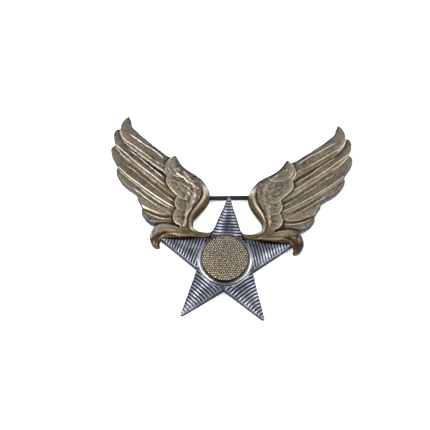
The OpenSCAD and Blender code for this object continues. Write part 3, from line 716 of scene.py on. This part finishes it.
# ------------------------------------------------------------------ star relief
def star_fields():
    st = 0.075
    xs = np.arange(-16.4, 16.4 + st, st)
    ys = np.arange(-14.2, 16.7, st)
    X, Y = np.meshgrid(xs, ys)
    S = signed(X.ravel(), Y.ravel(), moved_in(star_polygon(16.9, 6.74), 0.36)).reshape(X.shape) + 0.36
    m = S > -0.4
    px, py = X[m], Y[m]
    th = np.degrees(np.arctan2(py, px))
    k = np.round((th - 90) / 72)
    ax = np.radians(90 + 72 * k)
    a = px * np.cos(ax) + py * np.sin(ax)
    b = -px * np.sin(ax) + py * np.cos(ax)
    zc = 3.62 - 0.18 * np.clip(a - 6.2, 0, 20)
    hw = np.clip(3.98 * (16.9 - a) / 11.4, 0.5, 4.2)
    z = zc - 1.08 * (hw / 3.98) ** 0.6 * np.minimum(np.abs(b / hw), 1.15) ** 2
    # ribs square across each arm, with narrow furrows between them
    # the five arms were cut by hand: each has its own pitch, start and slight bow
    arm = np.mod(k, 5).astype(int)
    pitch = np.array([0.76, 0.70, 0.73, 0.75, 0.69])[arm]
    start = np.array([0.08, -0.10, -0.04, -0.39, -0.03])[arm]
    lean = np.array([0.05, -0.06, 0.16, -0.14, 0.06])[arm]
    curve = np.array([0.42, 0.15, 0.10, 0.15, 0.0])[arm]
    q = np.clip(b / hw, -1.1, 1.1)
    t = (a - start - lean * q - curve * q * q + 0.03 * wobble(px, py, 1.6, 21)) / pitch
    rib = (0.5 + 0.5 * np.cos(2 * math.pi * t)) ** 0.8
    r = np.hypot(px, py)
    amp = 0.25 * step01(5.3, 5.6, a) * step01(6.3, 6.6, r) * (1 - 0.35 * step01(14.6, 15.8, a))
    amp = amp * (0.12 + 0.88 * step01(0.10, 0.42, S[m]))
    amp = amp * (0.9 + 0.1 * wobble(px, py, 1.1, 22))
    z = z - amp * (1 - rib)
    z += 0.012 * wobble(px, py, 0.9, 23)
    r = np.hypot(px, py)
    z = np.where(r < 6.22, np.minimum(z, 2.9), z)
    H = np.full(X.shape, 2.0)
    H[m] = z
    W = m.astype(float)
    H = np.where(m, blur(H, W, 0.05, st), H)
    R = 0.18 + 0.16 * step01(7.0, 8.4, np.hypot(X, Y))
    # cav: darker in the rib furrows, as tarnish and as painted shade, lighter on the ribs
    cav = np.where(m, (H - blur(H, W, 0.26, st)) * 2.0, 0)
    # painted shade on the star's edge at the upper notches, where the wings' roots meet it
    cav -= 0.35 * step01(7.3, 6.6, np.hypot(X, Y)) * step01(0.4, 0.05, S) * step01(3.0, 5.5, Y)
    rr = np.hypot(X, Y)
    shade = np.clip(1 - (rr - 6.2) / 0.35, 0, 1)  # painted shade in the corner against the bezel
    cav = cav - 0.04 * shade
    cav[m] += 0.05 * wobble(px, py, 0.7, 24) + 0.05 * wobble(px, py, 2.0, 25)
    return xs, ys, S, H, R, {"cav": cav}


def disc_fields():
    st = 0.048
    xs = np.arange(-5.5, 5.5 + st, st)
    ys = xs.copy()
    X, Y = np.meshgrid(xs, ys)
    rr = np.hypot(X, Y)
    S = 5.25 - rr
    m = S > -0.2
    px, py = X[m], Y[m]
    r = rr[m]
    z = 5.54 - 0.6 * (r / 5.25) ** 2
    # stippled with small round punch marks, packed at random
    pitch = 0.54
    pts = []
    g = np.random.default_rng(31)
    rows = int(12 / (pitch * 0.866))
    for j in range(rows):
        for i in range(int(12 / pitch) + 2):
            x = -6 + i * pitch + (j % 2) * pitch / 2 + g.uniform(-0.13, 0.13)
            y = -6 + j * pitch * 0.866 + g.uniform(-0.13, 0.13)
            if math.hypot(x, y) < 5.8:
                pts.append((x, y, g.uniform(0.75, 1.15)))
    tree = kdtree.KDTree(len(pts))
    for i, p in enumerate(pts):
        tree.insert((p[0], p[1], 0), i)
    tree.balance()
    f1 = np.zeros(len(px))
    f2 = np.zeros(len(px))
    am = np.zeros(len(px))
    for i in range(len(px)):
        found = tree.find_n((px[i], py[i], 0), 2)
        f1[i], f2[i] = found[0][2], found[1][2]
        am[i] = pts[found[0][1]][2]
    cell = np.clip((f2 - f1) / 0.26, 0, 1)
    grain = (1 - (1 - cell) ** 2) * am
    edge = 1.0
    z = z + 0.25 * (grain - 0.75) * edge
    H = np.full(X.shape, 4.9)
    H[m] = z
    W = m.astype(float)
    H = np.where(m, blur(H, W, 0.03, st), H)
    R = np.full(X.shape, 0.06)
    # cav: darker in the punch marks, as tarnish and as painted shade, lighter on the rims between them
    cav = np.where(m, (H - blur(H, W, 0.22, st)) * 3.4, 0)
    return xs, ys, S, H, R, {"cav": cav}


# ------------------------------------------------------------------ materials
def new_mat(name):
    m = bpy.data.materials.new(name)
    m.use_nodes = True
    nt = m.node_tree
    for n in list(nt.nodes):
        nt.nodes.remove(n)
    out = nt.nodes.new("ShaderNodeOutputMaterial")
    b = nt.nodes.new("ShaderNodeBsdfPrincipled")
    nt.links.new(b.outputs[0], out.inputs[0])
    return m, nt, b


def ramp(nt, stops, src=None, interp="LINEAR"):
    r = nt.nodes.new("ShaderNodeValToRGB")
    r.color_ramp.interpolation = interp
    e = r.color_ramp.elements
    while len(e) > 1:
        e.remove(e[-1])
    e[0].position = stops[0][0]
    e[0].color = (*stops[0][1], 1) if len(stops[0][1]) == 3 else stops[0][1]
    for pos, c in stops[1:]:
        x = e.new(pos)
        x.color = (*c, 1)
    if src is not None:
        nt.links.new(src, r.inputs[0])
    return r


def math_node(nt, op, a, b=None, clamp=False):
    n = nt.nodes.new("ShaderNodeMath")
    n.operation = op
    n.use_clamp = clamp
    for i, v in enumerate([a, b]):
        if v is None:
            continue
        if isinstance(v, (int, float)):
            n.inputs[i].default_value = v
        else:
            nt.links.new(v, n.inputs[i])
    return n.outputs[0]


def noise(nt, scale, detail=4.0, rough=0.55, dist=0.0):
    tc = nt.nodes.new("ShaderNodeTexCoord")
    n = nt.nodes.new("ShaderNodeTexNoise")
    n.inputs["Scale"].default_value = scale
    n.inputs["Detail"].default_value = detail
    n.inputs["Roughness"].default_value = rough
    n.inputs["Distortion"].default_value = dist
    nt.links.new(tc.outputs["Object"], n.inputs["Vector"])
    return n.outputs[0]


def attr(nt, name):
    a = nt.nodes.new("ShaderNodeAttribute")
    a.attribute_name = name
    return a.outputs["Fac"]


def mix_rgb(nt, fac, a, b):
    n = nt.nodes.new("ShaderNodeMix")
    n.data_type = "RGBA"
    for sock, v in ((n.inputs[0], fac), (n.inputs[6], a), (n.inputs[7], b)):
        if isinstance(v, (int, float)):
            sock.default_value = v
        elif isinstance(v, tuple):
            sock.default_value = (*v, 1)
        else:
            nt.links.new(v, sock)
    return n.outputs[2]


def bump_node(nt, height, dist, strength=1.0):
    b = nt.nodes.new("ShaderNodeBump")
    b.inputs["Distance"].default_value = dist
    b.inputs["Strength"].default_value = strength
    nt.links.new(height, b.inputs["Height"])
    return b.outputs[0]


def sculpted(name, dark, mid, bright, rough_lo, rough_hi, gain=1.6, offset=0.5, warm=None, speck=0.16, bump=0.00002, dark2=None, edge=1.0):
    """Worn plated metal coloured from the 'cav' value: darker in the recesses, as tarnish and as painted shade, and
    brighter on the ridges, as wear and as painted highlight.
    """
    m, nt, b = new_mat(name)
    cav = attr(nt, "cav")
    n1 = noise(nt, 1400, 5, 0.65)
    n2 = noise(nt, 260, 3, 0.5)
    t = math_node(nt, "MULTIPLY_ADD", cav, gain)
    t.node.inputs[2].default_value = offset
    d = math_node(nt, "SUBTRACT", n1, 0.5)
    d = math_node(nt, "MULTIPLY", d, speck * 2)
    e = math_node(nt, "SUBTRACT", n2, 0.5)
    e = math_node(nt, "MULTIPLY", e, speck * 1.2)
    t = math_node(nt, "ADD", t, d)
    t = math_node(nt, "ADD", t, e, True)
    r = ramp(nt, [(0.0, dark), (0.3, tuple(0.55 * x + 0.45 * y for x, y in zip(dark, mid))), (0.5, mid), (0.72, tuple(0.5 * x + 0.5 * y for x, y in zip(mid, bright))), (0.9, bright)], t)
    col = r.outputs[0]
    if dark2 is not None:
        patch = ramp(nt, [(0.36, (0.15, 0.15, 0.15)), (0.56, (1, 1, 1))], noise(nt, 170, 2, 0.5))
        there = math_node(nt, "MULTIPLY", patch.outputs[0], attr(nt, "navy"))
        low = ramp(nt, [(0.0, dark2), (0.3, tuple(0.6 * x + 0.4 * y for x, y in zip(dark2, mid))), (0.5, mid), (0.72, tuple(0.5 * x + 0.5 * y for x, y in zip(mid, bright))), (0.9, bright)], t)
        col = mix_rgb(nt, there, col, low.outputs[0])
        # painted reflection and shade along the outline: a dark blue-grey ramp, mixed in by the outline attribute in
        # noisy patches
        edge_shade_col = ramp(nt, [(0.0, (0.022, 0.025, 0.045)), (0.5, (0.15, 0.16, 0.20)), (0.9, (0.58, 0.59, 0.62))], t)
        edge_shade_patches = ramp(nt, [(0.36, (0.65, 0.65, 0.65)), (0.58, (1, 1, 1))], noise(nt, 420, 3, 0.5))
        col = mix_rgb(nt, math_node(nt, "MULTIPLY", edge_shade_patches.outputs[0], attr(nt, "rim")), col, edge_shade_col.outputs[0])
    if warm is not None:
        g = attr(nt, "gold")
        g = math_node(nt, "MULTIPLY", g, 0.85)
        w = ramp(nt, [(0.0, tuple(x * 0.35 for x in warm)), (0.5, warm), (1.0, tuple(min(1, x * 1.5) for x in warm))], t)
        col = mix_rgb(nt, g, col, w.outputs[0])
    nt.links.new(col, b.inputs["Base Color"])
    b.inputs["Metallic"].default_value = 1.0
    b.inputs["Specular Tint"].default_value = (edge, edge, edge, 1)
    rr = nt.nodes.new("ShaderNodeMapRange")
    rr.inputs["To Min"].default_value = rough_hi
    rr.inputs["To Max"].default_value = rough_lo
    nt.links.new(t, rr.inputs["Value"])
    nt.links.new(rr.outputs[0], b.inputs["Roughness"])
    nf = noise(nt, 3200, 3, 0.6)
    nt.links.new(bump_node(nt, nf, bump), b.inputs["Normal"])
    return m


def plain_metal(name, dark, light, rough_lo, rough_hi, scale=700, bump=0.00002, metallic=1.0, shine=0.5):
    m, nt, b = new_mat(name)
    b.inputs["Specular IOR Level"].default_value = shine
    n1 = noise(nt, scale, 5, 0.6, 0.3)
    r = ramp(nt, [(0.3, dark), (0.62, light)], n1)
    nt.links.new(r.outputs[0], b.inputs["Base Color"])
    b.inputs["Metallic"].default_value = metallic
    rr = nt.nodes.new("ShaderNodeMapRange")
    rr.inputs["To Min"].default_value = rough_hi
    rr.inputs["To Max"].default_value = rough_lo
    nt.links.new(n1, rr.inputs["Value"])
    nt.links.new(rr.outputs[0], b.inputs["Roughness"])
    nf = noise(nt, scale * 3, 3, 0.6)
    nt.links.new(bump_node(nt, nf, bump), b.inputs["Normal"])
    return m


WING = sculpted("wing_gold_wash", (0.06, 0.037, 0.018), (0.325, 0.273, 0.20), (0.62, 0.555, 0.45), 0.33, 0.54, gain=1.55, offset=0.46, warm=(0.175, 0.11, 0.045), dark2=(0.018, 0.018, 0.034), speck=0.28, edge=0.45)
STAR = sculpted("star_silver", (0.007, 0.008, 0.015), (0.115, 0.123, 0.155), (0.64, 0.66, 0.71), 0.2, 0.42, gain=1.75, offset=0.42, edge=0.35)
DISC = sculpted("disc_gold_wash", (0.014, 0.010, 0.006), (0.225, 0.173, 0.12), (0.66, 0.57, 0.44), 0.3, 0.5, gain=1.75, offset=0.45)
BEZEL = sculpted("bezel_silver", (0.03, 0.032, 0.045), (0.19, 0.20, 0.24), (0.70, 0.72, 0.76), 0.14, 0.32, gain=1.0, offset=0.5, edge=0.5)
FINDING = plain_metal("finding_metal", (0.16, 0.13, 0.09), (0.48, 0.43, 0.34), 0.28, 0.5, 600)
ROTOR = plain_metal("rotor_metal", (0.22, 0.18, 0.12), (0.58, 0.52, 0.40), 0.24, 0.42, 600)
RIVET = plain_metal("rivet_metal", (0.18, 0.14, 0.09), (0.50, 0.44, 0.33), 0.28, 0.46, 800)
SOLDER = plain_metal("solder", (0.30, 0.30, 0.30), (0.56, 0.56, 0.55), 0.35, 0.6, 900)
STEM = plain_metal("stem_steel", (0.003, 0.003, 0.003), (0.010, 0.009, 0.008), 0.5, 0.66, 1200, metallic=0.0, shine=0.2)

# ------------------------------------------------------------------ build
wings = {}
for side_name, flip, seed, strong in (("right", False, 0, 0.6), ("left", True, 200, 1.1)):
    xs, ys, S, H, R, A = wing_fields(seed, strong, flip)
    o = relief(side_name + "_wing_relief", S, H, R, xs, ys, 0.16, A, flip=flip, side=-0.16)
    o.data.materials.append(WING)
    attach(o, "badge")
    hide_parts(side_name + "_wing")
    wings[side_name] = o

xs, ys, S, H, R, A = star_fields()
star = relief("star_relief", S, H, R, xs, ys, 0.14, A, side=-0.1, low=0.03)
star.data.materials.append(STAR)
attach(star, "badge")
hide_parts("star")

xs, ys, S, H, R, A = disc_fields()
disc = relief("star_disc_relief", S, H, R, xs, ys, 0.03, A, low=3.0)
disc.data.materials.append(DISC)
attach(disc, "badge")
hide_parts("star_disc")



def lathe(name, profile, n=160):
    """A ring turned about Z from (radius, height) points in mm, listed from the inside foot over the top."""
    vs, fs = [], []
    k = len(profile)
    for i in range(n):
        a = 2 * math.pi * i / n
        for rad, z in profile:
            vs.append((rad * math.cos(a) * MM, rad * math.sin(a) * MM, z * MM))
    for i in range(n):
        j = (i + 1) % n
        for q in range(k):
            w = (q + 1) % k
            fs.append((i * k + q, i * k + w, j * k + w, j * k + q))
    me = bpy.data.meshes.new(name)
    me.from_pydata(vs, [], fs)
    me.update()
    me.polygons.foreach_set("use_smooth", np.ones(len(me.polygons), bool))
    o = bpy.data.objects.new(name, me)
    bpy.context.scene.collection.objects.link(o)
    return o


arc = [(5.27, 3.0), (5.27, 3.5), (5.27, 3.9)]
arc += [(5.735 + 0.455 * u, 4.26 - 0.32 * abs(u) ** 2.4) for u in np.linspace(-1, 1, 19)]
arc += [(6.2, 3.85), (6.2, 3.4), (6.2, 3.0)]
bezel = lathe("disc_bezel_ring", arc)
# painted highlights at the sides and below them, painted shade at the top and the bottom
ring_co = np.empty(len(bezel.data.vertices) * 3)
bezel.data.vertices.foreach_get("co", ring_co)
ring_co = ring_co.reshape(-1, 3)
turn = np.degrees(np.arctan2(ring_co[:, 1], ring_co[:, 0]))
ring_light_attr = bezel.data.attributes.new("cav", "FLOAT", "POINT")
bright = np.zeros(len(turn))
for at, half, up in ((180, 42, 0.36), (0, 42, 0.36), (-130, 22, 0.2), (-50, 22, 0.2), (-90, 26, -0.30), (90, 50, -0.12), (130, 20, -0.15)):
    off = np.abs((turn - at + 180) % 360 - 180)
    bright += up * hump(off, half * 1.5)
ring_light_attr.data.foreach_set("value", bright.astype(np.float32))
bezel.data.materials.append(BEZEL)
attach(bezel, "badge")
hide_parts("disc_bezel")

for node, mat in (
    ("tang_rivets", RIVET), ("hinge_bracket", FINDING), ("hinge_solder", SOLDER),
    ("hinge_rivet", RIVET), ("pin_stem", STEM), ("catch_housing", FINDING), ("catch_solder", SOLDER), ("catch_rotor", ROTOR),
):
    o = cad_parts[node]
    o.data.materials.clear()
    o.data.materials.append(mat)
    if node not in ("pin_stem", "hinge_solder", "catch_solder"):
        w = o.modifiers.new("weld", "WELD")
        w.merge_threshold = 0.000002
        v = o.modifiers.new("edges", "BEVEL")
        v.width = 0.00006 if node in ("tang_rivets", "hinge_rivet") else 0.00009
        v.segments = 2
        v.limit_method = "ANGLE"
        v.angle_limit = math.radians(35)

# ------------------------------------------------------------------ floor, light, camera
floor_z = cad_lo.z
me = bpy.data.meshes.new("floor")
q = 1.2
me.from_pydata([(-q, -q, floor_z), (q, -q, floor_z), (q, q, floor_z), (-q, q, floor_z)], [], [(0, 1, 2, 3)])
floor = bpy.data.objects.new("floor", me)
bpy.context.scene.collection.objects.link(floor)
fm, nt, b = new_mat("floor_paper")
b.inputs["Base Color"].default_value = (0.93, 0.93, 0.93, 1)
b.inputs["Roughness"].default_value = 0.9
me.materials.append(fm)

world = bpy.data.worlds.new("studio")
bpy.context.scene.world = world
world.use_nodes = True
nt = world.node_tree
for n in list(nt.nodes):
    nt.nodes.remove(n)
wo = nt.nodes.new("ShaderNodeOutputWorld")
bg = nt.nodes.new("ShaderNodeBackground")
nt.links.new(bg.outputs[0], wo.inputs[0])
tc = nt.nodes.new("ShaderNodeTexCoord")
sp = nt.nodes.new("ShaderNodeSeparateXYZ")
nt.links.new(tc.outputs["Generated"], sp.inputs[0])
wr = ramp(nt, [(0.0, (0.6, 0.6, 0.6)), (0.5, (0.3, 0.3, 0.3)), (0.6, (0.5, 0.5, 0.5)), (0.68, (0.9, 0.9, 0.9)), (0.74, (1.0, 1.0, 1.0)), (0.84, (1.0, 1.0, 1.0)), (0.90, (0.55, 0.55, 0.55)), (0.94, (0.33, 0.33, 0.33)), (1.0, (0.28, 0.28, 0.28))])
wy = ramp(nt, [(0.0, (1.0, 0.985, 0.95)), (0.45, (0.95, 0.95, 0.94)), (1.0, (0.50, 0.54, 0.62))])
my = nt.nodes.new("ShaderNodeMapRange")
my.inputs["From Min"].default_value = -1
nt.links.new(sp.outputs["Y"], my.inputs["Value"])
nt.links.new(my.outputs[0], wy.inputs[0])
mr = nt.nodes.new("ShaderNodeMapRange")
mr.inputs["From Min"].default_value = -1
nt.links.new(sp.outputs["Z"], mr.inputs["Value"])
nt.links.new(mr.outputs[0], wr.inputs[0])
sky = nt.nodes.new("ShaderNodeMix")
sky.data_type = "RGBA"
sky.blend_type = "MULTIPLY"
sky.inputs[0].default_value = 1.0
nt.links.new(wr.outputs[0], sky.inputs[6])
nt.links.new(wy.outputs[0], sky.inputs[7])
nt.links.new(sky.outputs[2], bg.inputs["Color"])
bg.inputs["Strength"].default_value = 1.5


def area(name, loc, size, power, look=(0, 10, 0), color=(1, 1, 1)):
    l = bpy.data.lights.new(name, "AREA")
    l.shape = "RECTANGLE"
    l.size, l.size_y = size[0] * MM, size[1] * MM
    l.energy = power
    l.color = color
    o = bpy.data.objects.new(name, l)
    bpy.context.scene.collection.objects.link(o)
    o.location = Vector(loc) * MM
    o.rotation_mode = "QUATERNION"
    o.rotation_quaternion = (Vector(look) * MM - o.location).to_track_quat("-Z", "Y")
    return o


area("key", (-210, -150, 190), (160, 160), 0.5)
area("fill", (230, 40, 170), (120, 180), 0.15)
top = area("overhead", (0, 10, 500), (500, 500), 8.0, look=(0, 10, 0))
top.visible_glossy = False

cam = bpy.data.cameras.new("camera")
co = bpy.data.objects.new("camera", cam)
bpy.context.scene.collection.objects.link(co)
cam.sensor_width = 36.0
cam.lens = 83.1
TH, AL, RO, DIST = math.radians(18.97), math.radians(2.456), math.radians(3.4965), 236.7
d = Vector((math.sin(AL) * math.cos(TH), -math.sin(TH), math.cos(TH) * math.cos(AL))).normalized()
r = Vector((0, 1, 0)).cross(d).normalized()
u = d.cross(r)
rc = r * math.cos(RO) + u * math.sin(RO)
uc = u * math.cos(RO) - r * math.sin(RO)
aim = Vector((-3.124, 11.942, 0))
rot = Matrix((rc, uc, d)).transposed().to_4x4()
co.matrix_world = Matrix.Translation((aim + d * DIST) * MM) @ rot
cam.clip_start, cam.clip_end = 0.005, 20
bpy.context.scene.camera = co
bpy.context.scene.view_settings.view_transform = "Standard"
